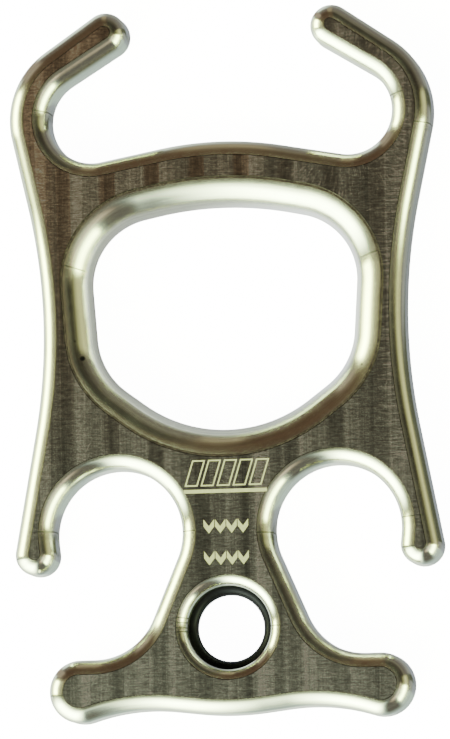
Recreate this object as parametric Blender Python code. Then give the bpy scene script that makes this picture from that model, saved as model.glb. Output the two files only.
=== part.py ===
# Horned figure eight descender for climbing, rope and rescue work.
# The plate lies flat: X is its width, Y its length with the horns at +Y, Z its thickness.
# The origin is at the middle of the back face.
import math
from collections import namedtuple

import bmesh
import bpy
from mathutils import Vector

MM = 0.001

# Plate stock and its rounded edges
PLATE_LENGTH = 146.5 * MM
PLATE_THICKNESS = 12.0 * MM
EDGE_RADIUS = 3.0 * MM
LEAST_TIP_LAND = 0.4 * MM
LEAST_SIDE_WALL = 0.5 * MM

# Arms and shoulders are cut to the bar's width: the arm tips reach it, the shoulders stay just inside
ARM_SPAN = 88.2 * MM
SHOULDER_INSET = 0.3 * MM
SHOULDER_WIDTH = ARM_SPAN - 2.0 * SHOULDER_INSET

# Horns: a bar bent round a hook that takes the rope
HORN_BEND_WALL = 8.2 * MM
HORN_HOOK_RADIUS = 9.0 * MM
HORN_HOOK_FLOOR_Y = 42.2 * MM
HORN_TIP_RADIUS = 4.4 * MM
HORN_MOUTH_GAP = 38.2 * MM

# Web between the horns, a shallow arch
WEB_CREST_RISE = 3.6 * MM
WEB_CREST_RADIUS = 69.0 * MM

# Flanks, drawn in beside the rope hole
WAIST_WIDTH = 75.0 * MM
WAIST_Y = 8.0 * MM
FLANK_RADIUS = 116.0 * MM

# Arms: their tips hang outside a round hook on each side of the neck
ARM_TIP_RADIUS = 4.3 * MM
ARM_TIP_DROP = 3.8 * MM
ARM_HOOK_RADIUS = 13.2 * MM
ARM_HOOK_Y = -34.6 * MM
NECK_WIDTH = 18.8 * MM

# Feet and the waved sole between them
FOOT_SPAN = 75.0 * MM
FOOT_TIP_RADIUS = 6.5 * MM
ANKLE_FILLET_RADIUS = 13.2 * MM
ANKLE_FILLET_SPACING = 55.8 * MM
SOLE_HOLLOW_SPACING = 33.2 * MM
SOLE_HOLLOW_RISE = 2.3 * MM
SOLE_HOLLOW_RADIUS = 39.5 * MM
SOLE_CREST_RISE = 1.0 * MM
SOLE_CREST_RADIUS = 57.0 * MM

# Rope hole: a shield with a flat arched top and a shallow rounded point below
ROPE_HOLE_TOP_Y = 32.3 * MM
ROPE_HOLE_BOTTOM_Y = -13.5 * MM
ROPE_HOLE_TOP_RADIUS = 67.0 * MM
ROPE_HOLE_BOTTOM_RADIUS = 28.5 * MM
ROPE_HOLE_UPPER_WIDTH = 54.8 * MM
ROPE_HOLE_UPPER_CORNER_RADIUS = 13.7 * MM
ROPE_HOLE_UPPER_CORNER_Y = 16.9 * MM
ROPE_HOLE_LOWER_WIDTH = 53.4 * MM
ROPE_HOLE_LOWER_CORNER_RADIUS = 14.8 * MM
ROPE_HOLE_LOWER_CORNER_Y = 6.8 * MM

# The rope hole's edge is rounded from face to face, a little wider at the sides than above and below
ROPE_EDGE_SIDE_WIDTH = 5.6 * MM
ROPE_EDGE_TOP_WIDTH = 5.4 * MM
ROPE_EDGE_BOTTOM_WIDTH = 5.4 * MM

# Attachment eye and the rubber ring in its groove
EYE_Y = -54.4 * MM
EYE_BORE_DIAMETER = 17.2 * MM
EYE_EDGE_RADIUS = 2.1 * MM
RING_SECTION_DIAMETER = 3.0 * MM
RING_CLEAR_DIAMETER = 13.6 * MM
RING_SEAT_CLEARANCE = 0.3 * MM

# Smoothness of the facets
ARC_TOLERANCE = 0.03 * MM
LARGEST_ARC_STEP = math.radians(15.0)
EDGE_STEPS = 4
ROPE_EDGE_STEPS = 5
EYE_SEGMENTS = 48
EYE_EDGE_STEPS = 3
GROOVE_STEPS = 6
RING_SECTION_SEGMENTS = 14

ALUMINIUM_COLOUR = (0.60, 0.58, 0.50, 1.0)
ALUMINIUM_ROUGHNESS = 0.28
RUBBER_COLOUR = (0.012, 0.012, 0.013, 1.0)
RUBBER_ROUGHNESS = 0.42

CONVEX = -1.0
CONCAVE = 1.0
UP = Vector((0.0, 1.0))
DOWN = Vector((0.0, -1.0))
RIGHT = Vector((1.0, 0.0))

Arc = namedtuple("Arc", "centre radius turn")


def make_material(name, colour, metallic, roughness):
    material = bpy.data.materials.new(name)
    material.use_nodes = True
    shader = material.node_tree.nodes["Principled BSDF"]
    shader.inputs["Base Color"].default_value = colour
    shader.inputs["Metallic"].default_value = metallic
    shader.inputs["Roughness"].default_value = roughness
    material.diffuse_color = colour
    return material


# Outline geometry. An outline is walked with the metal on its right, so the left-hand normal points
# away from the metal. A convex arc turns right and a concave one turns left. Neighbouring arcs are
# joined by the straight line that touches both.
def arc_point(arc, normal):
    return arc.centre - arc.turn * arc.radius * normal


def tangent_normal(arc, following):
    between = following.centre - arc.centre
    ratio = (following.turn * following.radius - arc.turn * arc.radius) / between.length
    lean = math.acos(max(-1.0, min(1.0, ratio)))
    heading = math.atan2(between.y, between.x) + lean
    return Vector((math.cos(heading), math.sin(heading)))


def crest_radius(wanted, crest, inward, neighbour, turn):
    # The arc through the crest keeps its wanted radius unless it would cut into its neighbour
    reach = neighbour.centre - crest
    signed_radius = neighbour.radius if neighbour.turn != turn else -neighbour.radius
    spare = signed_radius + reach.dot(inward)
    if spare <= 0.0:
        return wanted
    return min(wanted, (reach.length_squared - neighbour.radius ** 2) / (2.0 * spare))


def crest_arc(wanted, crest, inward, neighbours, turn):
    radius = min(crest_radius(wanted, crest, inward, near, turn) for near in neighbours)
    return Arc(crest + radius * inward, radius, turn)


def arc_normals(arcs, first_normal, last_normal):
    joints = [tangent_normal(arc, following) for arc, following in zip(arcs, arcs[1:])]
    starts = [first_normal] + joints
    ends = joints + [last_normal]
    return list(zip(starts, ends))


def arc_sweep(arc, start, end):
    turned = math.atan2(end.y, end.x) - math.atan2(start.y, start.x)
    sweep = (turned * arc.turn) % math.tau
    return 0.0 if sweep > math.tau - LARGEST_ARC_STEP else sweep


def arc_step_counts(arcs, first_normal, last_normal):
    counts = []
    for arc, (start, end) in zip(arcs, arc_normals(arcs, first_normal, last_normal)):
        step = min(2.0 * math.acos(1.0 - ARC_TOLERANCE / arc.radius), LARGEST_ARC_STEP)
        counts.append(max(1, math.ceil(arc_sweep(arc, start, end) / step)))
    return counts


def walk_half_outline(arcs, first_normal, last_normal, counts):
    walked = []
    for arc, (start, end), count in zip(arcs, arc_normals(arcs, first_normal, last_normal), counts):
        heading = math.atan2(start.y, start.x)
        sweep = arc_sweep(arc, start, end)
        for step in range(count + 1):
            angle = heading + arc.turn * sweep * step / count
            normal = Vector((math.cos(angle), math.sin(angle)))
            walked.append((arc_point(arc, normal), normal))
    return walked


def close_by_mirror(half):
    # The half outline starts and ends on the middle line, so those two points are not repeated
    mirrored = [
        (Vector((-point.x, point.y)), Vector((-normal.x, normal.y)))
        for point, normal in reversed(half[1:-1])
    ]
    return half + mirrored


# Outer outline of the plate, right half, from the web's crest round to the middle of the sole
def plate_arcs():
    top_y = 0.5 * PLATE_LENGTH
    sole_y = -0.5 * PLATE_LENGTH

    shoulder_radius = HORN_HOOK_RADIUS + HORN_BEND_WALL
    bend_centre = Vector((0.5 * SHOULDER_WIDTH - shoulder_radius, HORN_HOOK_FLOOR_Y + HORN_HOOK_RADIUS))
    horn_hook = Arc(bend_centre, HORN_HOOK_RADIUS, CONCAVE)
    shoulder = Arc(bend_centre, shoulder_radius, CONVEX)
    horn_tip_centre = Vector((0.5 * HORN_MOUTH_GAP + HORN_TIP_RADIUS, top_y - HORN_TIP_RADIUS))
    horn_tip = Arc(horn_tip_centre, HORN_TIP_RADIUS, CONVEX)
    web_crest = Vector((0.0, HORN_HOOK_FLOOR_Y + WEB_CREST_RISE))
    web = crest_arc(WEB_CREST_RADIUS, web_crest, DOWN, [horn_hook], CONVEX)

    arm_hook_centre = Vector((0.5 * NECK_WIDTH + ARM_HOOK_RADIUS, ARM_HOOK_Y))
    arm_hook = Arc(arm_hook_centre, ARM_HOOK_RADIUS, CONCAVE)
    arm_tip_x = 0.5 * ARM_SPAN - ARM_TIP_RADIUS
    touching = ARM_TIP_RADIUS + ARM_HOOK_RADIUS
    least_drop = math.sqrt(max(0.0, touching ** 2 - (arm_tip_x - arm_hook_centre.x) ** 2))
    arm_tip_centre = Vector((arm_tip_x, ARM_HOOK_Y - max(ARM_TIP_DROP, least_drop)))
    arm_tip = Arc(arm_tip_centre, ARM_TIP_RADIUS, CONVEX)
    waist = Vector((0.5 * WAIST_WIDTH, WAIST_Y))
    flank = crest_arc(FLANK_RADIUS, waist, RIGHT, [shoulder, arm_tip], CONCAVE)

    foot_tip_centre = Vector((0.5 * FOOT_SPAN - FOOT_TIP_RADIUS, sole_y + FOOT_TIP_RADIUS))
    foot_tip = Arc(foot_tip_centre, FOOT_TIP_RADIUS, CONVEX)
    foot_top_y = foot_tip_centre.y + FOOT_TIP_RADIUS
    ankle_centre = Vector((0.5 * ANKLE_FILLET_SPACING, foot_top_y + ANKLE_FILLET_RADIUS))
    ankle = Arc(ankle_centre, ANKLE_FILLET_RADIUS, CONCAVE)
    hollow_top = Vector((0.5 * SOLE_HOLLOW_SPACING, sole_y + SOLE_HOLLOW_RISE))
    hollow = crest_arc(SOLE_HOLLOW_RADIUS, hollow_top, DOWN, [foot_tip], CONCAVE)
    sole_crest = Vector((0.0, sole_y + SOLE_CREST_RISE))
    sole = crest_arc(SOLE_CREST_RADIUS, sole_crest, UP, [hollow], CONVEX)

    return [web, horn_hook, horn_tip, shoulder, flank, arm_tip, arm_hook, ankle, foot_tip, hollow, sole]


# Rope hole, right half, from its lowest point up to its highest. The widths move the outline out to
# where the rounded edge meets the flat faces.
def rope_hole_arcs(side_width, top_width, bottom_width):
    upper_growth = 0.5 * (side_width + top_width)
    upper_radius = ROPE_HOLE_UPPER_CORNER_RADIUS + upper_growth
    upper_x = 0.5 * ROPE_HOLE_UPPER_WIDTH + side_width - upper_radius
    upper_y = ROPE_HOLE_UPPER_CORNER_Y + top_width - upper_growth
    upper_corner = Arc(Vector((upper_x, upper_y)), upper_radius, CONCAVE)

    lower_growth = 0.5 * (side_width + bottom_width)
    lower_radius = ROPE_HOLE_LOWER_CORNER_RADIUS + lower_growth
    lower_x = 0.5 * ROPE_HOLE_LOWER_WIDTH + side_width - lower_radius
    lower_y = ROPE_HOLE_LOWER_CORNER_Y - bottom_width + lower_growth
    lower_corner = Arc(Vector((lower_x, lower_y)), lower_radius, CONCAVE)

    highest = Vector((0.0, ROPE_HOLE_TOP_Y + top_width))
    top = crest_arc(ROPE_HOLE_TOP_RADIUS + top_width, highest, DOWN, [upper_corner], CONCAVE)
    lowest = Vector((0.0, ROPE_HOLE_BOTTOM_Y - bottom_width))
    bottom = crest_arc(ROPE_HOLE_BOTTOM_RADIUS + bottom_width, lowest, UP, [lower_corner], CONCAVE)
    return [bottom, lower_corner, upper_corner, top]


def add_loop(mesh, points, height):
    return [mesh.verts.new((point.x, point.y, height)) for point in points]


def bridge_loops(mesh, lower, upper):
    count = len(lower)
    for index in range(count):
        following = (index + 1) % count
        mesh.faces.new((lower[index], lower[following], upper[following], upper[index]))


def bridge_stack(mesh, loops):
    for lower, upper in zip(loops, loops[1:]):
        bridge_loops(mesh, lower, upper)


def add_outer_wall(mesh):
    # Inset and height of each loop: a quarter round, the straight wall, and a quarter round again
    radius = min(EDGE_RADIUS, 0.5 * (PLATE_THICKNESS - LEAST_SIDE_WALL))
    radius = min(radius, HORN_TIP_RADIUS - LEAST_TIP_LAND, ARM_TIP_RADIUS - LEAST_TIP_LAND)
    radius = min(radius, FOOT_TIP_RADIUS - LEAST_TIP_LAND)
    arcs = plate_arcs()
    counts = arc_step_counts(arcs, UP, DOWN)
    outline = close_by_mirror(walk_half_outline(arcs, UP, DOWN, counts))
    quarter = [0.5 * math.pi * step / EDGE_STEPS for step in range(EDGE_STEPS + 1)]
    levels = [(radius * (1.0 - math.sin(angle)), radius * (1.0 - math.cos(angle))) for angle in quarter]
    levels += [(inset, PLATE_THICKNESS - height) for inset, height in reversed(levels)]
    loops = []
    for inset, height in levels:
        points = [point - inset * normal for point, normal in outline]
        loops.append(add_loop(mesh, points, height))
    bridge_stack(mesh, loops)
    return loops[0], loops[-1]


def add_rope_hole(mesh):
    # The edge sweeps half an ellipse from the back face to the front face
    hole_arcs = rope_hole_arcs(0.0, 0.0, 0.0)
    land_arcs = rope_hole_arcs(ROPE_EDGE_SIDE_WIDTH, ROPE_EDGE_TOP_WIDTH, ROPE_EDGE_BOTTOM_WIDTH)
    counts = arc_step_counts(land_arcs, UP, DOWN)
    hole = close_by_mirror(walk_half_outline(hole_arcs, UP, DOWN, counts))
    land = close_by_mirror(walk_half_outline(land_arcs, UP, DOWN, counts))
    half_thickness = 0.5 * PLATE_THICKNESS
    loops = []
    for step in range(-ROPE_EDGE_STEPS, ROPE_EDGE_STEPS + 1):
        angle = 0.5 * math.pi * step / ROPE_EDGE_STEPS
        outward = 1.0 - math.cos(angle)
        height = half_thickness * (1.0 + math.sin(angle))
        points = [inner.lerp(outer, outward) for (inner, _), (outer, _) in zip(hole, land)]
        loops.append(add_loop(mesh, points, height))
    bridge_stack(mesh, loops)
    return loops[0], loops[-1]


def ring_centre_radius():
    return 0.5 * (RING_CLEAR_DIAMETER + RING_SECTION_DIAMETER)


def eye_profile():
    # Radius and height from the back face to the front face, with the ring's groove half way
    bore_radius = 0.5 * EYE_BORE_DIAMETER
    half_thickness = 0.5 * PLATE_THICKNESS
    quarter = [0.5 * math.pi * step / EYE_EDGE_STEPS for step in range(EYE_EDGE_STEPS + 1)]
    back_edge = [
        (bore_radius + EYE_EDGE_RADIUS * (1.0 - math.sin(angle)), EYE_EDGE_RADIUS * (1.0 - math.cos(angle)))
        for angle in quarter
    ]
    groove_radius = 0.5 * RING_SECTION_DIAMETER + RING_SEAT_CLEARANCE
    mouth = math.acos((bore_radius - ring_centre_radius()) / groove_radius)
    groove = []
    for step in range(GROOVE_STEPS + 1):
        angle = mouth * (2.0 * step / GROOVE_STEPS - 1.0)
        radius = ring_centre_radius() + groove_radius * math.cos(angle)
        groove.append((radius, half_thickness + groove_radius * math.sin(angle)))
    front_edge = [(radius, PLATE_THICKNESS - height) for radius, height in reversed(back_edge)]
    return back_edge + groove + front_edge


def circle_points(radius):
    angles = [math.tau * index / EYE_SEGMENTS for index in range(EYE_SEGMENTS)]
    return [Vector((radius * math.cos(angle), EYE_Y + radius * math.sin(angle))) for angle in angles]


def add_eye(mesh):
    loops = [add_loop(mesh, circle_points(radius), height) for radius, height in eye_profile()]
    bridge_stack(mesh, loops)
    return loops[0], loops[-1]


def loop_edges(mesh, loop):
    following = loop[1:] + loop[:1]
    return [mesh.edges.get(pair) for pair in zip(loop, following)]


def fill_face(mesh, loops, normal):
    edges = [edge for loop in loops for edge in loop_edges(mesh, loop)]
    bmesh.ops.triangle_fill(mesh, edges=edges, normal=normal, use_beauty=True)


def finish_object(name, mesh, material, crease_angle):
    bmesh.ops.recalc_face_normals(mesh, faces=mesh.faces[:])
    data = bpy.data.meshes.new(name)
    mesh.to_mesh(data)
    mesh.free()
    data.materials.append(material)
    data.shade_smooth()
    data.set_sharp_from_angle(angle=crease_angle)
    thing = bpy.data.objects.new(name, data)
    bpy.context.scene.collection.objects.link(thing)
    return thing


def build_plate():
    mesh = bmesh.new()
    rims = [add_outer_wall(mesh), add_rope_hole(mesh), add_eye(mesh)]
    fill_face(mesh, [back for back, front in rims], (0.0, 0.0, -1.0))
    fill_face(mesh, [front for back, front in rims], (0.0, 0.0, 1.0))
    aluminium = make_material("milled_aluminium", ALUMINIUM_COLOUR, 1.0, ALUMINIUM_ROUGHNESS)
    return finish_object("descender_plate", mesh, aluminium, math.radians(40.0))


def build_retaining_ring():
    mesh = bmesh.new()
    section_radius = 0.5 * RING_SECTION_DIAMETER
    half_thickness = 0.5 * PLATE_THICKNESS
    loops = []
    for step in range(RING_SECTION_SEGMENTS):
        angle = math.tau * step / RING_SECTION_SEGMENTS
        radius = ring_centre_radius() + section_radius * math.cos(angle)
        height = half_thickness + section_radius * math.sin(angle)
        loops.append(add_loop(mesh, circle_points(radius), height))
    bridge_stack(mesh, loops + loops[:1])
    rubber = make_material("black_rubber", RUBBER_COLOUR, 0.0, RUBBER_ROUGHNESS)
    return finish_object("retaining_ring", mesh, rubber, math.radians(60.0))


def main():
    for thing in list(bpy.data.objects):
        bpy.data.objects.remove(thing, do_unlink=True)
    build_plate()
    build_retaining_ring()


main()
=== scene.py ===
import math

import bmesh
import bpy
from mathutils import Matrix, Vector


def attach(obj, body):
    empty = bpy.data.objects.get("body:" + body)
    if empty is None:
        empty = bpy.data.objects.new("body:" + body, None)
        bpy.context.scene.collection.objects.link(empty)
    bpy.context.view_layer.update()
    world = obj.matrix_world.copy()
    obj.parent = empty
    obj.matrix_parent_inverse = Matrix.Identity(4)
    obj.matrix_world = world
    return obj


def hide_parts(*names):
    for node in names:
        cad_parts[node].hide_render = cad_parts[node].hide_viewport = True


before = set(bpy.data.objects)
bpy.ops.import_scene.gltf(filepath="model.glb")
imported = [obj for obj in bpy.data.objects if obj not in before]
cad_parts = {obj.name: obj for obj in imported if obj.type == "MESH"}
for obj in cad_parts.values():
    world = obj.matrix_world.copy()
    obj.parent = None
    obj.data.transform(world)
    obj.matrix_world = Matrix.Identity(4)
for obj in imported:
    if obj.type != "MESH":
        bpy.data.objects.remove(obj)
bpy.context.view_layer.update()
mm = 0.001
print("frame loaded")


# small helpers for working by hand in edit mode

def leaveEditing():
    if bpy.context.object and bpy.context.object.mode != "OBJECT":
        bpy.ops.object.mode_set(mode="OBJECT")
    bpy.ops.object.select_all(action="DESELECT")


def editPiece(piece):
    leaveEditing()
    bpy.context.view_layer.objects.active = piece
    piece.select_set(True)
    bpy.ops.object.mode_set(mode="EDIT")


def selectAll():
    bpy.ops.mesh.select_all(action="SELECT")


def pick(piece, kind, test):
    # selects what passes the test and nothing else
    bpy.ops.mesh.select_mode(type=kind)
    bpy.ops.mesh.select_all(action="DESELECT")
    cage = bmesh.from_edit_mesh(piece.data)
    for item in {"VERT": cage.verts, "EDGE": cage.edges, "FACE": cage.faces}[kind]:
        if test(item):
            item.select_set(True)
    bmesh.update_edit_mesh(piece.data)


def pointFacesOut():
    selectAll()
    bpy.ops.mesh.normals_make_consistent(inside=False)


def joinPieces(main, others):
    leaveEditing()
    for other in others:
        other.select_set(True)
    main.select_set(True)
    bpy.context.view_layer.objects.active = main
    bpy.ops.object.join()


def namePiece(piece, name):
    piece.name = name
    piece.data.name = name


def startPoint(name, finish, place):
    # one loose vertex to draw a line from, left in edit mode
    leaveEditing()
    bpy.ops.mesh.primitive_plane_add(size=mm)
    piece = bpy.context.object
    namePiece(piece, name)
    piece.data.materials.append(finishes[finish])
    bpy.ops.object.mode_set(mode="EDIT")
    bpy.ops.mesh.select_mode(type="VERT")
    selectAll()
    bpy.ops.mesh.merge(type="CENTER")
    bpy.ops.transform.translate(value=place)
    return piece


def extrudeBy(shift):
    bpy.ops.mesh.extrude_region_move(TRANSFORM_OT_translate={"value": shift})


# small helpers for materials; every pattern reads Object coordinates, turned to millimetres

def addNode(tree, kind, *inputs, **settings):
    node = tree.nodes.new("ShaderNode" + kind)
    for name, value in settings.items():
        setattr(node, name, value)
    for socket, value in enumerate(inputs):
        if isinstance(value, bpy.types.NodeSocket):
            tree.links.new(value, node.inputs[socket])
        elif value is not None:
            node.inputs[socket].default_value = value
    return node


def compute(tree, operation, *inputs, clamp=False):
    return addNode(tree, "Math", *inputs, operation=operation, use_clamp=clamp).outputs[0]


def product(tree, *values):
    total = values[0]
    for value in values[1:]:
        total = compute(tree, "MULTIPLY", total, value)
    return total


def greatest(tree, *values):
    total = values[0]
    for value in values[1:]:
        total = compute(tree, "MAXIMUM", total, value)
    return total


def distanceFrom(tree, value, middle):
    return compute(tree, "ABSOLUTE", compute(tree, "SUBTRACT", value, middle))


def scaled(tree, value, amount, start=1.0):
    # start where the value is 0, and amount more where it is 1
    return compute(tree, "MULTIPLY_ADD", value, amount, start)


def swing(tree, value, depth, middle=1.0):
    # half the depth to either side of the middle
    return scaled(tree, value, depth, middle - 0.5 * depth)


def weightedSum(tree, values, weights):
    total = 0.0
    for name, weight in weights.items():
        total = scaled(tree, values[name], weight, total)
    return total


def smooth(tree, value, low, high):
    # 0 below low and 1 above high, or the other way round where low is the larger
    node = addNode(tree, "MapRange", interpolation_type="SMOOTHSTEP")
    tree.links.new(value, node.inputs["Value"])
    turned = low > high
    node.inputs["From Min"].default_value = min(low, high)
    node.inputs["From Max"].default_value = max(low, high)
    node.inputs["To Min"].default_value = 1.0 if turned else 0.0
    node.inputs["To Max"].default_value = 0.0 if turned else 1.0
    return node.outputs["Result"]


def millimetres(tree, scale=(1.0, 1.0, 1.0)):
    mapping = addNode(tree, "Mapping", addNode(tree, "TexCoord").outputs["Object"])
    mapping.inputs["Scale"].default_value = [value / mm for value in scale]
    return mapping.outputs[0]


def splitPlace(tree, place):
    split = addNode(tree, "SeparateXYZ", place)
    return split.outputs[0], split.outputs[1], split.outputs[2]


def noiseAt(tree, place, detail=2.0, roughness=0.5, distortion=0.0):
    node = addNode(tree, "TexNoise", place)
    node.inputs["Scale"].default_value = 1.0
    node.inputs["Detail"].default_value = detail
    node.inputs["Roughness"].default_value = roughness
    node.inputs["Distortion"].default_value = distortion
    return node.outputs["Fac"]


def noise(tree, fineness, *settings):
    # fineness is in waves to a millimetre along X, Y and Z, or one number for all three
    scale = fineness if isinstance(fineness, tuple) else (fineness, fineness, fineness)
    return noiseAt(tree, millimetres(tree, scale), *settings)


def ramp(tree, value, stops):
    node = addNode(tree, "ValToRGB", value)
    while len(node.color_ramp.elements) < len(stops):
        node.color_ramp.elements.new(0.5)
    for element, (position, colour) in zip(node.color_ramp.elements, stops):
        element.position = position
        element.color = (*colour, 1.0) if isinstance(colour, tuple) else (colour, colour, colour, 1.0)
    return node.outputs["Color"]


def blend(tree, factor, first, second, kind="MIX"):
    node = addNode(tree, "Mix", data_type="RGBA", blend_type=kind, clamp_factor=True)
    for name, value in (("Factor_Float", factor), ("A_Color", first), ("B_Color", second)):
        socket = next(item for item in node.inputs if item.identifier == name)
        if isinstance(value, bpy.types.NodeSocket):
            tree.links.new(value, socket)
        else:
            socket.default_value = (*value, 1.0) if isinstance(value, tuple) else value
    return next(item for item in node.outputs if item.identifier == "Result_Color")


def newMaterial(name, metallic, colour, roughness):
    material = bpy.data.materials.new(name)
    material.use_nodes = True
    shader = material.node_tree.nodes["Principled BSDF"]
    shader.inputs["Metallic"].default_value = metallic
    shader.inputs["Base Color"].default_value = (*colour, 1.0)
    shader.inputs["Roughness"].default_value = roughness
    return material, material.node_tree, shader


def addBump(tree, shader, height, distance):
    bump = addNode(tree, "Bump")
    bump.inputs["Distance"].default_value = distance * mm
    tree.links.new(height, bump.inputs["Height"])
    tree.links.new(bump.outputs[0], shader.inputs["Normal"])


def markAxes(tree, x, y, heading, beside=0.0):
    # how far a point lies along and across a thin mark in mm, measured from its middle or beside it
    turned = addNode(tree, "Mapping", addNode(tree, "TexCoord").outputs["Object"], vector_type="TEXTURE")
    turned.inputs["Location"].default_value = (x * mm, y * mm, 0.0)
    turned.inputs["Rotation"].default_value = (0.0, 0.0, math.radians(heading))
    turned.inputs["Scale"].default_value = (mm, mm, mm)
    along, across, _ = splitPlace(tree, turned.outputs[0])
    return compute(tree, "ABSOLUTE", along), distanceFrom(tree, across, beside)


# aluminium as it left the mill: passes run the length of the plate, each overlapping the last

milledFinish = {
    # the brown is a painted reflection of the room, laid on the face by place
    "green": (0.86, 0.94, 0.90), "paintedBrown": (0.98, 0.81, 0.68),
    "paintedBrownUpper": 0.30, "paintedBrownRight": -0.85,
    "roughness": 0.17, "roughAcross": 0.10,
    # where the passes lie across the plate, how far they wander, all in mm, and the fineness of that
    "firstPass": -31.0, "pitch": 9.3, "wander": 0.7, "wanderWaves": (0.3, 0.10, 1.0),
    # the tone across one pass, its dark side, and how far some passes and the feet are evened out
    "passTones": [(0.0, 0.86), (0.03, 1.0), (0.08, 0.90), (0.35, 0.78), (0.60, 0.68),
                  (0.68, 0.44), (0.82, 0.36), (0.94, 0.46), (1.0, 0.72)],
    "darkSide": (0.55, 0.72),
    "evenTone": (0.68, 0.68, 0.68), "evenPasses": 0.3, "evenFeet": 0.4,
    # parts of the face with soft sides: axis, where each side starts and where it is full, in mm
    "zones": {
        "feet": [("y", -44.0, -60.0)],
        "upper": [("y", -35.0, 50.0)],
        "leftRim": [("x", -29.0, -37.0)],
        "leftHorn": [("y", 46.0, 54.0), ("x", -5.0, -15.0)],
        "leftShoulder": [("x", -20.0, -30.0), ("y", 0.0, 30.0)],
        "right": [("x", 2.0, 18.0)],
        "rightOfHole": [("x", 2.0, 18.0), ("y", -25.0, 5.0), ("y", 52.0, 44.0)],
        "rightRim": [("x", 31.0, 33.0), ("y", -27.0, -20.0), ("y", 50.0, 44.0)],
    },
    # how much lighter each of these is: painted light on the feet and the left shoulder, painted shade right
    # of the hole
    "paintedLightLifts": {"feet": 0.20, "leftShoulder": 0.17, "rightOfHole": -0.20},
    # short cutter marks across the passes, patches, grain, feed lines along the passes and hatch:
    # fineness along X, Y and Z, then detail, roughness and distortion
    "patterns": {
        "across": ((0.55, 3.0, 1.0), 3.0, 0.75, 0.3),
        "patches": ((0.16, 0.9, 1.0), 2.0, 0.6),
        "grain": (2.4, 3.0, 0.75),
        "along": ((3.4, 0.05, 1.0), 3.0, 0.7),
        "hatch": ((0.20, 1.5, 1.0), 2.0, 0.6, 0.5),
    },
    # where each begins to lighten the metal and where it is full, by how much, and the tone without it
    "contrasts": {
        "across": (0.38, 0.62, 0.42, 0.80),
        "patches": (0.35, 0.65, 0.18, 0.91),
        "grain": (0.36, 0.64, 0.30, 0.85),
        "along": (0.34, 0.66, 0.26, 0.87),
    },
    # bands to a millimetre across the plate, by how much they lighten it, and the tone without them
    "bands": [(0.42, 0.50, 0.75), (1.1, 0.30, 0.85)],
    # how high each pattern stands, and the depth of it all in mm
    "relief": {"grain": 0.4, "along": 0.5, "across": 1.0}, "bump": 0.012,
    # hatch left where the cutter turned: centre x, y, near, far, strokes to a radian
    "fans": [(26.6, 51.2, 10.8, 18.5, 30.0), (-31.0, -66.75, 0.5, 5.5, 14.0)],
    "fanWaves": 0.35, "fanPattern": (2.0, 0.6, 0.4), "fanStroke": (0.56, 0.66), "fanFade": (0.5, 1.0),
    "hatchStroke": (0.50, 0.62), "strokeLift": (0.60, 0.91),
    # handling scratches: x, y, half the length, direction in degrees
    "scratches": [
        (-36.3, 34.5, 1.0, 2), (-36.5, 9.2, 1.3, 4), (-34.2, 60.2, 0.9, 35), (-36.9, 49.5, 0.8, 0),
        (33.6, -5.5, 0.8, 78), (35.2, -2.0, 0.6, 60), (30.8, 30.2, 0.7, 15), (-28.2, -16.8, 1.3, 62),
        (-28.8, -19.4, 0.7, -20), (-20.5, -22.6, 1.1, 80), (14.2, -41.8, 1.4, -58), (9.4, -30.2, 1.0, 40),
        (38.2, 26.0, 0.7, 80), (25.0, 30.4, 0.8, -8), (-24.0, -62.0, 1.2, 30), (21.5, -64.5, 0.9, -12),
        (-6.2, -68.2, 0.7, 50), (36.5, 5.5, 0.9, 82), (34.0, 44.8, 0.8, -24), (-37.8, 41.0, 0.7, 8),
    ],
    "scratchWidth": 0.14, "scratchLift": 0.8,
}


def zoneMask(tree, x, y, sides):
    # 1 inside a zone and 0 outside it
    return product(tree, *[smooth(tree, {"x": x, "y": y}[axis], start, full) for axis, start, full in sides])


def fanStrokes(tree, x, y, centreX, centreY, near, far, count):
    # short strokes across the cutter's path where it turned round a hook or a tip
    s = milledFinish
    aside = compute(tree, "SUBTRACT", x, centreX)
    ahead = compute(tree, "SUBTRACT", y, centreY)
    squared = compute(tree, "ADD", product(tree, aside, aside), product(tree, ahead, ahead))
    reach = compute(tree, "SQRT", squared)
    turn = compute(tree, "MULTIPLY", compute(tree, "ARCTAN2", ahead, aside), count)
    fan = addNode(tree, "CombineXYZ", turn, product(tree, reach, s["fanWaves"]), 0.0).outputs[0]
    stroke = smooth(tree, noiseAt(tree, fan, *s["fanPattern"]), *s["fanStroke"])
    inner, outer = s["fanFade"]
    ends = product(tree, smooth(tree, reach, near, near + inner), smooth(tree, reach, far, far - outer))
    return product(tree, stroke, ends)


def scratchMask(tree, scratches, width):
    # thin lines that fade out at their ends
    lines = []
    for x, y, half, heading in scratches:
        along, across = markAxes(tree, x, y, heading)
        thin = smooth(tree, across, width, 0.3 * width)
        lines.append(product(tree, thin, smooth(tree, along, half, 0.6 * half)))
    return greatest(tree, *lines)


def bands(tree, x, count):
    # bands side by side, each of its own width and tone
    cells = addNode(tree, "TexVoronoi", voronoi_dimensions="1D")
    tree.links.new(x, cells.inputs["W"])
    cells.inputs["Scale"].default_value = count
    return addNode(tree, "SeparateColor", cells.outputs["Color"]).outputs[0]


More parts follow.
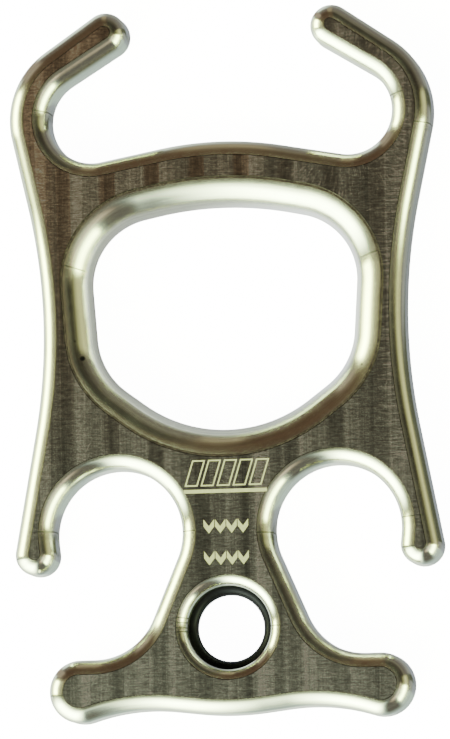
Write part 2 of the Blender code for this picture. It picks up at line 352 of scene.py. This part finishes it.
def milledColour(tree, passes, zones):
    # green and brown by place, the brown a painted reflection of the room, darkened by each pass of the
    # cutter
    s = milledFinish
    within = compute(tree, "FRACT", compute(tree, "ADD", passes, 20.0))      # the sum keeps it above 0
    each = addNode(tree, "TexWhiteNoise", noise_dimensions="1D")
    tree.links.new(compute(tree, "FLOOR", passes), each.inputs["W"])
    even = greatest(tree, product(tree, each.outputs["Value"], s["evenPasses"]),
                    product(tree, zones["feet"], s["evenFeet"]))
    tone = blend(tree, even, ramp(tree, within, s["passTones"]), s["evenTone"])
    # painted brown reflection towards the horns, most of all on the left one and where a pass is dark, and
    # least on the right
    dark = product(tree, smooth(tree, within, *s["darkSide"]), zones["upper"])
    left = product(tree, zones["leftRim"], zones["upper"])
    paintedBrown = greatest(tree, product(tree, zones["upper"], s["paintedBrownUpper"]), dark, left, zones["leftHorn"])
    paintedBrown = product(tree, paintedBrown, scaled(tree, zones["right"], s["paintedBrownRight"]))
    return blend(tree, 1.0, blend(tree, paintedBrown, s["green"], s["paintedBrown"]), tone, "MULTIPLY")


def makeMilledFinish():
    s = milledFinish
    material, tree, shader = newMaterial("milledFace", 1.0, s["green"], s["roughness"])
    x, y, _ = splitPlace(tree, millimetres(tree))
    zones = {name: zoneMask(tree, x, y, sides) for name, sides in s["zones"].items()}
    patterns = {name: noise(tree, *values) for name, values in s["patterns"].items()}
    wander = swing(tree, noise(tree, s["wanderWaves"]), s["wander"], 0.0)
    wavyX = compute(tree, "ADD", x, wander)
    passes = compute(tree, "DIVIDE", compute(tree, "SUBTRACT", wavyX, s["firstPass"]), s["pitch"])
    lifts = [scaled(tree, smooth(tree, patterns[name], low, high), amount, least)
             for name, (low, high, amount, least) in s["contrasts"].items()]
    lifts += [scaled(tree, bands(tree, wavyX, count), amount, least) for count, amount, least in s["bands"]]
    # painted light and painted shade laid on the face by place
    lifts += [scaled(tree, zones[name], amount) for name, amount in s["paintedLightLifts"].items()]
    # hatch at the turns, and down the right rim, where the cutter ran close beside the edge
    hatch = product(tree, smooth(tree, patterns["hatch"], *s["hatchStroke"]), zones["rightRim"])
    strokes = greatest(tree, *[fanStrokes(tree, x, y, *fan) for fan in s["fans"]], hatch)
    lifts.append(scaled(tree, strokes, *s["strokeLift"]))
    scratched = product(tree, scratchMask(tree, s["scratches"], s["scratchWidth"]), s["scratchLift"])
    lift = compute(tree, "ADD", product(tree, *lifts), scratched)
    colour = blend(tree, 1.0, milledColour(tree, passes, zones), lift, "MULTIPLY")
    tree.links.new(colour, shader.inputs["Base Color"])
    rough = swing(tree, patterns["across"], s["roughAcross"], s["roughness"])
    tree.links.new(rough, shader.inputs["Roughness"])
    addBump(tree, shader, weightedSum(tree, patterns, s["relief"]), s["bump"])
    return material


# the rounded edges were run with a form cutter and polished, so their streaks keep to one height

edgeFinish = {
    "colour": (0.84, 0.86, 0.68),
    "anisotropy": 0.85, "anisotropyTurn": 0.25,       # smooth along the edge and rough across it
    "patterns": {
        "streaks": ((0.03, 0.03, 3.2), 4.0, 0.65),
        "fine": ((0.05, 0.05, 9.0), 2.0, 0.6),
        "haze": (0.35, 3.0, 0.6),
        "hatch": ((0.25, 3.0, 0.25), 2.0, 0.6),
    },
    "streakLift": (0.3, 0.7, 0.22, 0.80), "hatchLift": 0.14, "hazeRough": 0.08, "stopRough": 0.08,
    "relief": {"streaks": 1.5, "hatch": 0.3, "fine": 1.0}, "bump": 0.007,
    # roughness, how far the streaks change it, and where the cutter stopped: x, y, direction in degrees
    "edges": {
        "polishedEdge": (0.16, 0.05, [
            (-37.5, 53.2, -10), (36.8, 54.2, 16), (42.0, 48.0, -6), (-37.5, -33.8, 0), (-7.6, -34.5, 2),
            (7.8, -35.2, 0), (37.5, -32.8, 3), (-42.5, -39.2, 4), (36.8, -39.0, 0), (-35.8, -67.5, 0),
        ]),
        "ropeEdge": (0.175, 0.06, [(-31.3, 20.6, -17), (31.6, 21.6, 18)]),
        "boreEdge": (0.16, 0.05, [
            (9.8, -54.3, 0), (-9.9, -52.2, -6), (-9.9, -53.2, -3), (-9.9, -54.3, 0), (-9.9, -55.1, 3),
        ]),
    },
    "stopLine": (0.22, 0.06), "stopEnd": (3.6, 2.2),           # where the line fades out and where it is full
    "shadeAt": -1.1, "shade": (0.9, 0.2), "shadeDepth": 0.22,      # a dim band lies beside each line
    # the pores are painted dark, painted shade in place of hollow pits
    "pits": [(-29.1, 1.6, 0.6), (-30.6, 5.2, 0.25), (28.6, -1.4, 0.25)],      # pores: x, y, radius
    "stopLift": -0.7, "pitShadeLift": -0.93,
}


def stopMask(tree, stops):
    # thin lines, each a few millimetres long, across the edge
    s = edgeFinish
    lines = []
    for x, y, heading in stops:
        along, across = markAxes(tree, x, y, heading)
        _, beside = markAxes(tree, x, y, heading, s["shadeAt"])
        shade = product(tree, smooth(tree, beside, *s["shade"]), s["shadeDepth"])
        line = greatest(tree, smooth(tree, across, *s["stopLine"]), shade)
        lines.append(product(tree, line, smooth(tree, along, *s["stopEnd"])))
    return greatest(tree, *lines)


# dark spots of painted shade where the pores would be hollow
def pitShadeMask(tree, pits):
    place = millimetres(tree, (1.0, 1.0, 0.0))
    spots = []
    for x, y, radius in pits:
        away = addNode(tree, "VectorMath", place, (x, y, 0.0), operation="DISTANCE")
        spots.append(smooth(tree, away.outputs["Value"], radius, 0.5 * radius))
    return greatest(tree, *spots)


def makeEdgeFinish(name):
    s = edgeFinish
    roughness, streaky, stops = s["edges"][name]
    material, tree, shader = newMaterial(name, 1.0, s["colour"], roughness)
    patterns = {kind: noise(tree, *values) for kind, values in s["patterns"].items()}
    stop = stopMask(tree, stops)
    low, high, amount, least = s["streakLift"]
    streaks = scaled(tree, smooth(tree, patterns["streaks"], low, high), amount, least)
    lift = product(tree, streaks, swing(tree, patterns["hatch"], s["hatchLift"]),
                   scaled(tree, stop, s["stopLift"]), scaled(tree, pitShadeMask(tree, s["pits"]), s["pitShadeLift"]))
    tree.links.new(blend(tree, 1.0, s["colour"], lift, "MULTIPLY"), shader.inputs["Base Color"])
    rough = swing(tree, patterns["streaks"], streaky, roughness)
    rough = compute(tree, "ADD", rough, swing(tree, patterns["haze"], s["hazeRough"], 0.0))
    rough = compute(tree, "ADD", rough, product(tree, stop, s["stopRough"]))
    tree.links.new(rough, shader.inputs["Roughness"])
    addBump(tree, shader, weightedSum(tree, patterns, s["relief"]), s["bump"])
    normal = addNode(tree, "NewGeometry").outputs["Normal"]
    along = addNode(tree, "VectorMath", (0.0, 0.0, 1.0), normal, operation="CROSS_PRODUCT")
    tree.links.new(along.outputs[0], shader.inputs["Tangent"])
    shader.inputs["Anisotropic"].default_value = s["anisotropy"]
    shader.inputs["Anisotropic Rotation"].default_value = s["anisotropyTurn"]
    return material


# narrow turned surfaces beside the milled face, with streaks and dull patches, and the near-black painted
# reflection on the step round the face

turnedFinish = {
    "surfaces": {           # colour, worn colour, roughness
        "turnedLedge": ((0.24, 0.22, 0.18), (0.62, 0.60, 0.48), 0.2),
        # the step's sides are painted near-black as a painted dark reflection
        "paintedDarkLine": ((0.006, 0.005, 0.004), (0.024, 0.022, 0.017), 0.35),
    },
    "patches": (0.8, 4.0, 0.7), "grain": (5.0, 3.0, 0.7),
    "share": 0.5, "worn": (0.38, 0.64), "roughGrain": 0.16, "bump": 0.006,
}


def makeTurnedFinish(name):
    s = turnedFinish
    colour, worn, roughness = s["surfaces"][name]
    material, tree, shader = newMaterial(name, 1.0, colour, roughness)
    patches, grain = noise(tree, *s["patches"]), noise(tree, *s["grain"])
    mixed = scaled(tree, grain, s["share"], product(tree, patches, 1.0 - s["share"]))
    tree.links.new(blend(tree, smooth(tree, mixed, *s["worn"]), colour, worn), shader.inputs["Base Color"])
    tree.links.new(swing(tree, grain, s["roughGrain"], roughness), shader.inputs["Roughness"])
    addBump(tree, shader, grain, s["bump"])
    return material


finishes = {"milledFace": makeMilledFinish()}
for edgeName in edgeFinish["edges"]:
    finishes[edgeName] = makeEdgeFinish(edgeName)
for turnedName in turnedFinish["surfaces"]:
    finishes[turnedName] = makeTurnedFinish(turnedName)
print("finishes made")


# the plate is drawn as arcs joined by the straight lines that touch them, then given its thickness

plate = {
    "outline": [            # right half from web to sole: centre x, y, radius, 1 hollow or -1 round, in mm
        (0.0, -23.2, 69.0, -1),        # web
        (26.6, 51.2, 9.0, 1),          # horn hook
        (23.5, 68.85, 4.4, -1),        # horn tip
        (26.6, 51.2, 17.2, -1),        # shoulder
        (153.5, 8.0, 116.0, 1),        # flank
        (39.8, -38.4, 4.3, -1),        # arm tip
        (22.6, -34.6, 13.2, 1),        # arm hook
        (27.9, -47.05, 13.2, 1),       # ankle
        (31.0, -66.75, 6.5, -1),       # foot tip
        (16.6, -110.45, 39.5, 1),      # hollow of the sole
        (0.0, -15.25, 57.0, -1),       # middle of the sole
    ],
    "ropeHole": [           # right half, lowest point to highest
        (0.0, 15.0, 28.5, 1),
        (11.9, 6.8, 14.8, 1),
        (13.7, 16.9, 13.7, 1),
        (0.0, -34.7, 67.0, 1),
    ],
    "inset": 0.03,          # keeps this finer outline inside the faceted solid
    "back": 0.015, "front": 11.985,
    "longestStep": 0.8, "widestTurn": 3.0,
    "edgeRadius": 3.0, "edgeSegments": 12,
    "ropeEdge": 5.5, "ropeSegments": 18, "ropeWall": 0.04, "ledge": 0.45,
    "ropeFlange": 1.6, "ropeMiddleY": 10.0,
    "stepWidth": 0.13, "stepHeight": 0.06,       # the milled face stands a hair above the edges round it
    "eyeY": -54.4, "boreRadius": 8.6, "eyeEdge": 2.1, "eyeEdgeSteps": 10, "eyeSteps": 128,
    "grooveCentre": 8.3, "grooveRadius": 1.8, "grooveSteps": 14,
    "sharpAngle": 20.0,
    "sameHeight": 0.001, "mirrorMerge": 0.01, "spinMerge": 0.002,
}
faceHeights = (plate["back"], plate["front"])
edgeHeights = (plate["back"] + plate["stepHeight"], plate["front"] - plate["stepHeight"])
middle = 0.5 * (plate["back"] + plate["front"])


def touchingHeading(arc, following):
    # direction of the left-hand normal on the straight line that touches both arcs
    across = Vector((following[0] - arc[0], following[1] - arc[1]))
    lean = math.acos((following[2] * following[3] - arc[2] * arc[3]) / across.length)
    return math.atan2(across.y, across.x) + lean


def drawHalf(name, finish, arcs, offset, height):
    # the offset moves the line into the metal, and the left half is a mirror image
    headings = [touchingHeading(arc, following) for arc, following in zip(arcs, arcs[1:])]
    starts, ends = [math.pi / 2] + headings, headings + [-math.pi / 2]
    piece = None
    for (x, y, radius, turn), start, end in zip(arcs, starts, ends):
        reach = -turn * radius - offset
        touch = Vector((x + reach * math.cos(start), y + reach * math.sin(start), height))
        if piece is None:
            piece = startPoint(name, finish, touch * mm)
        else:
            line = touch - at
            cuts = max(1, round(line.length / plate["longestStep"]))
            for _ in range(cuts):
                extrudeBy(line * mm / cuts)
        sweep = ((end - start) * turn) % math.tau
        steps = max(math.degrees(sweep) / plate["widestTurn"], sweep * radius / plate["longestStep"])
        bpy.ops.mesh.spin(steps=math.ceil(steps), angle=-turn * sweep, center=Vector((x, y, height)) * mm,
                          axis=(0, 0, 1))
        at = Vector((x + reach * math.cos(end), y + reach * math.sin(end), height))
    leaveEditing()
    bpy.context.view_layer.objects.active = piece
    mirror = piece.modifiers.new("Mirror", "MIRROR")
    mirror.merge_threshold = plate["mirrorMerge"] * mm
    bpy.ops.object.modifier_apply(modifier=mirror.name)
    return piece


def atHeight(edge, height):
    return all(abs(vert.co.z - height * mm) < plate["sameHeight"] * mm for vert in edge.verts)


def roundEdges(radius, segments):
    bpy.ops.mesh.bevel(offset=radius * mm, segments=segments, profile=0.5, affect="EDGES",
                       clamp_overlap=False, loop_slide=False)


def makeOuterRim():
    low, high = edgeHeights
    rim = drawHalf("outerRim", "polishedEdge", plate["outline"], plate["inset"], low)
    editPiece(rim)
    selectAll()
    bpy.ops.mesh.edge_face_add()
    extrudeBy((0, 0, (high - low) * mm))
    pointFacesOut()
    pick(rim, "EDGE", lambda edge: atHeight(edge, low) or atHeight(edge, high))
    roundEdges(plate["edgeRadius"], plate["edgeSegments"])
    pick(rim, "FACE", lambda face: len(face.verts) > 4)
    bpy.ops.mesh.delete(type="FACE")
    leaveEditing()
    return rim


def makeRopeRim():
    # an upright wall between two flat flanges, its corners rounded until they nearly meet
    half = plate["ropeEdge"] + 0.5 * plate["ropeWall"]
    heights = (middle - half, middle + half)
    rim = drawHalf("ropeRim", "ropeEdge", plate["ropeHole"], 0.0, heights[0])
    editPiece(rim)
    selectAll()
    extrudeBy((0, 0, 2 * half * mm))
    for height in heights:
        pick(rim, "EDGE", lambda edge: atHeight(edge, height))
        extrudeBy((0, 0, 0))
        bpy.ops.transform.resize(value=(plate["ropeFlange"], plate["ropeFlange"], 1.0),
                                 center_override=(0, plate["ropeMiddleY"] * mm, 0))
    pointFacesOut()
    for height in heights:
        pick(rim, "EDGE", lambda edge: atHeight(edge, height) and not edge.is_boundary and
             any(abs(face.normal.z) < 0.5 for face in edge.link_faces))
        roundEdges(plate["ropeEdge"], plate["ropeSegments"])
    pick(rim, "FACE", lambda face: abs(face.normal.z) > 0.99999)
    bpy.ops.mesh.delete(type="FACE")
    selectAll()
    stretch = 0.5 * (edgeHeights[1] - edgeHeights[0]) / half
    bpy.ops.transform.resize(value=(1.0, 1.0, stretch), center_override=(0, 0, middle * mm))
    leaveEditing()
    return rim


def makeLedges(rim):
    # a narrow flat ledge outside the rope hole's rounded edge on both faces
    reach = plate["ropeEdge"] + plate["ledge"]
    ledges = [drawHalf("ledge", "ropeEdge", plate["ropeHole"], reach, height) for height in edgeHeights]
    joinPieces(rim, ledges)
    editPiece(rim)
    for height in edgeHeights:
        pick(rim, "EDGE", lambda edge: atHeight(edge, height))
        bpy.ops.mesh.bridge_edge_loops()
    leaveEditing()


def makeEyeRim():
    # half the section is drawn upright on +X of the eye and spun round it
    bore, edge, groove = plate["boreRadius"], plate["eyeEdge"], plate["grooveRadius"]
    low, high = edgeHeights
    mouth = math.acos((bore - plate["grooveCentre"]) / groove)
    lip = groove * math.sin(mouth)
    rim = startPoint("eyeRim", "boreEdge", Vector((bore + edge, plate["eyeY"], low)) * mm)

    def turnProfile(radius, height, angle, steps):
        centre = Vector((radius, plate["eyeY"], height)) * mm
        bpy.ops.mesh.spin(steps=steps, angle=angle, center=centre, axis=(0, 1, 0))

    turnProfile(bore + edge, low + edge, -math.pi / 2, plate["eyeEdgeSteps"])
    extrudeBy((0, 0, (middle - lip - low - edge) * mm))
    turnProfile(plate["grooveCentre"], middle, 2 * mouth, plate["grooveSteps"])
    extrudeBy((0, 0, (high - edge - middle - lip) * mm))
    turnProfile(bore + edge, high - edge, -math.pi / 2, plate["eyeEdgeSteps"])
    selectAll()
    bpy.ops.mesh.spin(steps=plate["eyeSteps"], angle=math.tau, center=Vector((0, plate["eyeY"], 0)) * mm,
                      axis=(0, 0, 1))
    selectAll()
    bpy.ops.mesh.remove_doubles(threshold=plate["spinMerge"] * mm)
    leaveEditing()
    return rim


def fillFaces(rim):
    # both flat faces are filled between the rims, then raised from them
    editPiece(rim)
    for height in edgeHeights:
        pick(rim, "EDGE", lambda edge: atHeight(edge, height) and edge.is_boundary)
        bpy.ops.mesh.fill(use_beauty=True)
    pointFacesOut()
    for height in edgeHeights:
        pick(rim, "FACE", lambda face: len(face.verts) == 3 and
             all(atHeight(edge, height) for edge in face.edges))
        bpy.ops.mesh.inset(thickness=plate["stepWidth"] * mm, depth=plate["stepHeight"] * mm,
                           use_even_offset=True)
    leaveEditing()


def paintFaces(rim):
    # the milled faces, the painted dark line round them (a painted reflection on the step's sides) and the
    # rope hole's ledges get their own finish
    for name in ("milledFace", "paintedDarkLine", "turnedLedge"):
        rim.data.materials.append(finishes[name])
    slots = {slot.name: number for number, slot in enumerate(rim.material_slots)}
    same = plate["sameHeight"]
    low, high = edgeHeights
    for face in rim.data.polygons:
        height = face.center.z / mm
        if min(abs(height - each) for each in faceHeights) < same:
            face.material_index = slots["milledFace"]
        # the step's sides take the painted dark line
        elif height < low - same or height > high + same:
            face.material_index = slots["paintedDarkLine"]
        elif abs(face.normal.z) > 0.9999 and min(height - low, high - height) < same:
            face.material_index = slots["turnedLedge"]


def makePlate():
    rim = makeOuterRim()
    rope = makeRopeRim()
    makeLedges(rope)
    joinPieces(rim, [rope, makeEyeRim()])
    namePiece(rim, "milledPlate")
    fillFaces(rim)
    paintFaces(rim)
    rim.select_set(True)
    bpy.ops.object.shade_smooth_by_angle(angle=math.radians(plate["sharpAngle"]))
    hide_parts("descender_plate")
    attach(rim, "root")


makePlate()
print("plate made")


# rubber ring in the eye's groove, with the fine bead its mould left round the inside

rubberRing = {
    "bore": 13.6, "section": 3.0, "bead": 0.06, "stepsRound": 144, "sectionSteps": 36,
    "colour": (0.0026, 0.0025, 0.0033), "dusty": (0.0052, 0.0052, 0.0058), "roughness": 0.38,
    "gloss": 0.10, "glossTint": (0.72, 0.74, 1.0, 1.0),
    "grain": (7.0, 3.0, 0.6), "dust": (1.4, 4.0, 0.7), "dustEdge": (0.55, 0.75),
    "roughGrain": 0.16, "bump": 0.012,
}


def makeRubberFinish():
    s = rubberRing
    material, tree, shader = newMaterial("ringRubber", 0.0, s["colour"], s["roughness"])
    shader.inputs["Specular IOR Level"].default_value = s["gloss"]
    shader.inputs["Specular Tint"].default_value = s["glossTint"]
    grain = noise(tree, *s["grain"])
    dust = smooth(tree, noise(tree, *s["dust"]), *s["dustEdge"])
    tree.links.new(blend(tree, dust, s["colour"], s["dusty"]), shader.inputs["Base Color"])
    tree.links.new(swing(tree, grain, s["roughGrain"], s["roughness"]), shader.inputs["Roughness"])
    addBump(tree, shader, grain, s["bump"])
    return material


def makeRing():
    s = rubberRing
    centre = Vector((0, plate["eyeY"], middle)) * mm
    leaveEditing()
    bpy.ops.mesh.primitive_torus_add(
        major_segments=s["stepsRound"], minor_segments=s["sectionSteps"], location=centre,
        major_radius=0.5 * (s["bore"] + s["section"]) * mm, minor_radius=0.5 * s["section"] * mm)
    ring = bpy.context.object
    namePiece(ring, "rubberRing")
    bpy.ops.object.transform_apply(location=True, rotation=True, scale=True)
    # the innermost row of points is drawn in to make the bead
    editPiece(ring)
    pick(ring, "VERT", lambda vert: abs(vert.co.z - centre.z) < 0.01 * mm and
         math.hypot(vert.co.x, vert.co.y - centre.y) < 0.51 * s["bore"] * mm)
    shrink = 1.0 - 2.0 * s["bead"] / s["bore"]
    bpy.ops.transform.resize(value=(shrink, shrink, 1.0), center_override=centre)
    leaveEditing()
    ring.select_set(True)
    ring.data.materials.append(makeRubberFinish())
    bpy.ops.object.shade_smooth()
    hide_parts("retaining_ring")
    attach(ring, "root")


makeRing()
print("ring made")


# plain laser marks on the neck: slanted outlines over a bar, and rows of chevrons that point to the eye

marks = {
    "top": 11.997, "depth": 0.09, "line": 0.30, "corner": 0.08,
    "slants": {"count": 5, "left": -8.4, "pitch": 3.3, "width": 2.7, "lean": 1.7, "foot": -25.5,
               "height": 5.4},
    "bar": (-8.6, 8.6, -26.9, 0.75),      # left, right, foot, height
    "rows": {"tops": (-32.3, -38.8), "count": 4, "pitch": 2.35, "width": 2.162, "height": 2.9,
             "stroke": 1.45},
    "cream": (0.34, 0.33, 0.20), "burnt": (0.13, 0.12, 0.07), "roughness": 0.55,
    "speck": (5.0, 4.0, 0.75), "speckEdge": (0.30, 0.70), "speckShare": 0.7,
    "wear": (0.9, 3.0, 0.6), "wearShare": 0.5, "bump": 0.008,
}


def makeMarkFinish():
    s = marks
    material, tree, shader = newMaterial("laserMark", 0.0, s["cream"], s["roughness"])
    speck, wear = noise(tree, *s["speck"]), noise(tree, *s["wear"])
    specks = smooth(tree, speck, *s["speckEdge"])
    mottled = scaled(tree, specks, s["speckShare"], product(tree, wear, s["wearShare"]))
    bare = compute(tree, "SUBTRACT", 1.0, mottled, clamp=True)
    tree.links.new(blend(tree, bare, s["cream"], s["burnt"]), shader.inputs["Base Color"])
    addBump(tree, shader, speck, s["bump"])
    return material


finishes["laserMark"] = makeMarkFinish()


def drawMark(corners, hollow=False):
    # one flat mark from its corners, an outline only where it is hollow
    place = Vector((*corners[0], marks["top"] - marks["depth"]))
    mark = startPoint("mark", "laserMark", place * mm)
    for x, y in corners[1:]:
        following = Vector((x, y, place.z))
        extrudeBy((following - place) * mm)
        place = following
    selectAll()
    bpy.ops.mesh.edge_face_add()
    if hollow:
        bpy.ops.mesh.inset(thickness=marks["line"] * mm, use_even_offset=True)
        bpy.ops.mesh.delete(type="FACE")
    selectAll()
    extrudeBy((0, 0, marks["depth"] * mm))
    pointFacesOut()
    pick(mark, "EDGE", lambda edge: abs(edge.verts[0].co.z - edge.verts[1].co.z) > 0.5 * marks["depth"] * mm)
    bpy.ops.mesh.bevel(offset=marks["corner"] * mm, segments=2, affect="EDGES")
    leaveEditing()
    return mark


def slantCorners(number):
    s = marks["slants"]
    left, foot = s["left"] + number * s["pitch"], s["foot"]
    right, top = left + s["width"], foot + s["height"]
    return [(left, foot), (right, foot), (right + s["lean"], top), (left + s["lean"], top)]


def chevronCorners(number, top):
    s = marks["rows"]
    x = (number - 0.5 * (s["count"] - 1)) * s["pitch"]
    left, right, tip = x - 0.5 * s["width"], x + 0.5 * s["width"], top - s["height"]
    return [(left, top), (x, tip + s["stroke"]), (right, top), (right, top - s["stroke"]), (x, tip),
            (left, top - s["stroke"])]


def makeMarks():
    pieces = [drawMark(slantCorners(number), hollow=True) for number in range(marks["slants"]["count"])]
    left, right, foot, tall = marks["bar"]
    pieces.append(drawMark([(left, foot), (right, foot), (right, foot + tall), (left, foot + tall)]))
    for top in marks["rows"]["tops"]:
        pieces += [drawMark(chevronCorners(number, top)) for number in range(marks["rows"]["count"])]
    joinPieces(pieces[0], pieces[1:])
    namePiece(pieces[0], "laserMarks")
    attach(pieces[0], "root")


makeMarks()
print("marks made")


# studio: the camera stands where the photograph was taken from, over a pale floor

studio = {
    "swing": 0.13314, "tilt": 0.09291, "roll": 0.01965,       # in radians
    "distance": 1.6, "aside": 0.330, "below": 1.087, "lens": 379.24, "sensor": 36.0,
    "floor": (0.9, 0.9, 0.9), "floorGlow": 14.0, "floorSize": 4.0, "floorHeight": -0.2,
    "backdrop": (18.0, 18.0, 18.0),
    # the light card under the rope hole, in mm, and its light from its lower left to its right
    "cardSize": (62.0, 52.0), "cardCorner": 16.0, "cardMiddle": (0.0, 9.7, -0.1), "cardSlope": (0.02, 0.008),
    "card": [(0.00, (0.32, 0.34, 0.37)), (0.26, (0.62, 0.65, 0.71)), (0.55, (0.76, 0.80, 0.87)),
             (0.95, (2.1, 2.2, 2.6))],
    # the room from straight up to straight down
    "room": [(0.00, (0.27, 0.28, 0.23)), (0.06, (0.081, 0.074, 0.067)), (0.12, (0.027, 0.022, 0.018)),
             (0.25, (0.041, 0.028, 0.026)), (0.38, (0.21, 0.19, 0.15)), (0.50, (0.2, 0.17, 0.17)),
             (0.65, (0.42, 0.43, 0.43)), (1.00, (0.44, 0.5, 0.6))],
    # panels in the room: middle azimuth, half width and softness, low polar angle and softness,
    # high polar angle and softness, colour
    "panels": [
        (195, 75, 32, 104, 6, 180, 15, (1.6, 1.8, 1.7)),           # pale floor beyond the windows
        (304, 38, 7, 27, 32, 180, 27, (0.72, 0.9, 0.86)),          # and under the second one
        (16, 5, 5, 95, 19, 160, 18, (0.12, 0.13, 0.098)),          # dark corner
        (125, 30, 15, 1, 33, 51, 42, (0.105, 0.060, 0.041)),       # brown curtain
        (140, 5, 5, 77, 45, 157, 46, (0.48, 0.39, 0.32)),          # its lower edge
        (97, 5, 5, 85, 45, 78, 41, (0.45, 0.37, 0.25)),            # small lamp
        (292, 12, 14, 12, 45, 97, 60, (0.15, 0.14, 0.13)),         # gap between the windows
        (328, 22, 25, 24, 15, 17, 22, (1.8, 1.5, 1.1)),            # warm ceiling
        (2, 16, 7, 74, 45, 69, 28, (1.1, 1.1, 0.53)),              # cream wall
        (166, 13, 6, 42, 40, 70, 40, (0.75, 0.72, 0.49)),          # window frame
        (168, 11, 5, 66, 25, 58, 45, (27, 31, 13)),                # narrow window
        (228, 20, 25, 55, 44, 64, 60, (21, 25, 16)),               # large window
        (336, 18, 6, 74, 45, 47, 39, (29, 35, 15)),                # second window
    ],
}


def addCamera():
    s = studio
    turn = Matrix.Rotation(s["roll"], 3, "Z") @ Matrix.Rotation(-s["tilt"], 3, "X")
    turn = turn @ Matrix.Rotation(-s["swing"], 3, "Y")
    right, up, back = turn
    place = back * s["distance"] - right * s["aside"] * mm - up * s["below"] * mm
    place.z += middle * mm
    data = bpy.data.cameras.new("camera")
    camera = bpy.data.objects.new("camera", data)
    bpy.context.scene.collection.objects.link(camera)
    camera.matrix_world = Matrix.Translation(place) @ turn.transposed().to_4x4()
    data.sensor_width = s["sensor"]
    data.lens = s["lens"]
    data.clip_start = 0.1
    data.clip_end = 20
    bpy.context.scene.camera = camera


def addFloor():
    s = studio
    leaveEditing()
    bpy.ops.mesh.primitive_plane_add(size=s["floorSize"], location=(0, 0, s["floorHeight"] * mm))
    floor = bpy.context.object
    namePiece(floor, "floor")
    material, _, shader = newMaterial("paleFloor", 0.0, s["floor"], 0.9)
    shader.inputs["Emission Color"].default_value = (1.0, 1.0, 1.0, 1.0)
    shader.inputs["Emission Strength"].default_value = s["floorGlow"]
    floor.data.materials.append(material)
    floor.visible_glossy = False       # the metal mirrors the room below it, as on a glass table


def addLightCard():
    # the floor shows in the rope hole's walls, brightest under the right wall and dim at the lower left
    s = studio
    leaveEditing()
    bpy.ops.mesh.primitive_plane_add(size=mm, location=Vector(s["cardMiddle"]) * mm)
    card = bpy.context.object
    namePiece(card, "lightCard")
    bpy.ops.object.mode_set(mode="EDIT")
    bpy.ops.transform.resize(value=(*s["cardSize"], 1))
    bpy.ops.mesh.bevel(offset=s["cardCorner"] * mm, segments=8, affect="VERTICES")
    leaveEditing()
    card.select_set(True)
    bpy.ops.object.transform_apply(location=True)
    material, tree, shader = newMaterial("lightCard", 0.0, (0.0, 0.0, 0.0), 1.0)
    x, y, _ = splitPlace(tree, millimetres(tree, (*s["cardSlope"], 1.0)))
    across = compute(tree, "ADD", compute(tree, "ADD", x, y), 0.5)
    tree.links.new(ramp(tree, across, s["card"]), shader.inputs["Emission Color"])
    shader.inputs["Emission Strength"].default_value = 1.0
    card.data.materials.append(material)
    card.visible_camera = False
    card.visible_diffuse = False
    card.visible_shadow = False


def addRoomLight():
    world = bpy.data.worlds.new("studio")
    bpy.context.scene.world = world
    world.use_nodes = True
    tree = world.node_tree
    tree.nodes.clear()
    x, y, z = splitPlace(tree, addNode(tree, "TexCoord").outputs["Generated"])
    azimuth = compute(tree, "DEGREES", compute(tree, "ARCTAN2", y, x))
    polar = compute(tree, "DEGREES", compute(tree, "ARCCOSINE", z))
    colour = ramp(tree, compute(tree, "DIVIDE", polar, 180.0), studio["room"])
    for panel, half, soft, low, lowSoft, high, highSoft, tint in studio["panels"]:
        nearest = compute(tree, "WRAP", azimuth, panel + 180.0, panel - 180.0)
        away = distanceFrom(tree, nearest, panel)
        mask = product(tree, smooth(tree, away, half + soft, half), smooth(tree, polar, low - lowSoft, low),
                       smooth(tree, polar, high + highSoft, high))
        colour = blend(tree, mask, colour, tint)
    seen = addNode(tree, "LightPath").outputs["Is Camera Ray"]
    background = addNode(tree, "Background", blend(tree, seen, colour, studio["backdrop"]))
    tree.links.new(background.outputs[0], addNode(tree, "OutputWorld").inputs["Surface"])


addCamera()
addFloor()
addLightCard()
addRoomLight()
print("studio made")
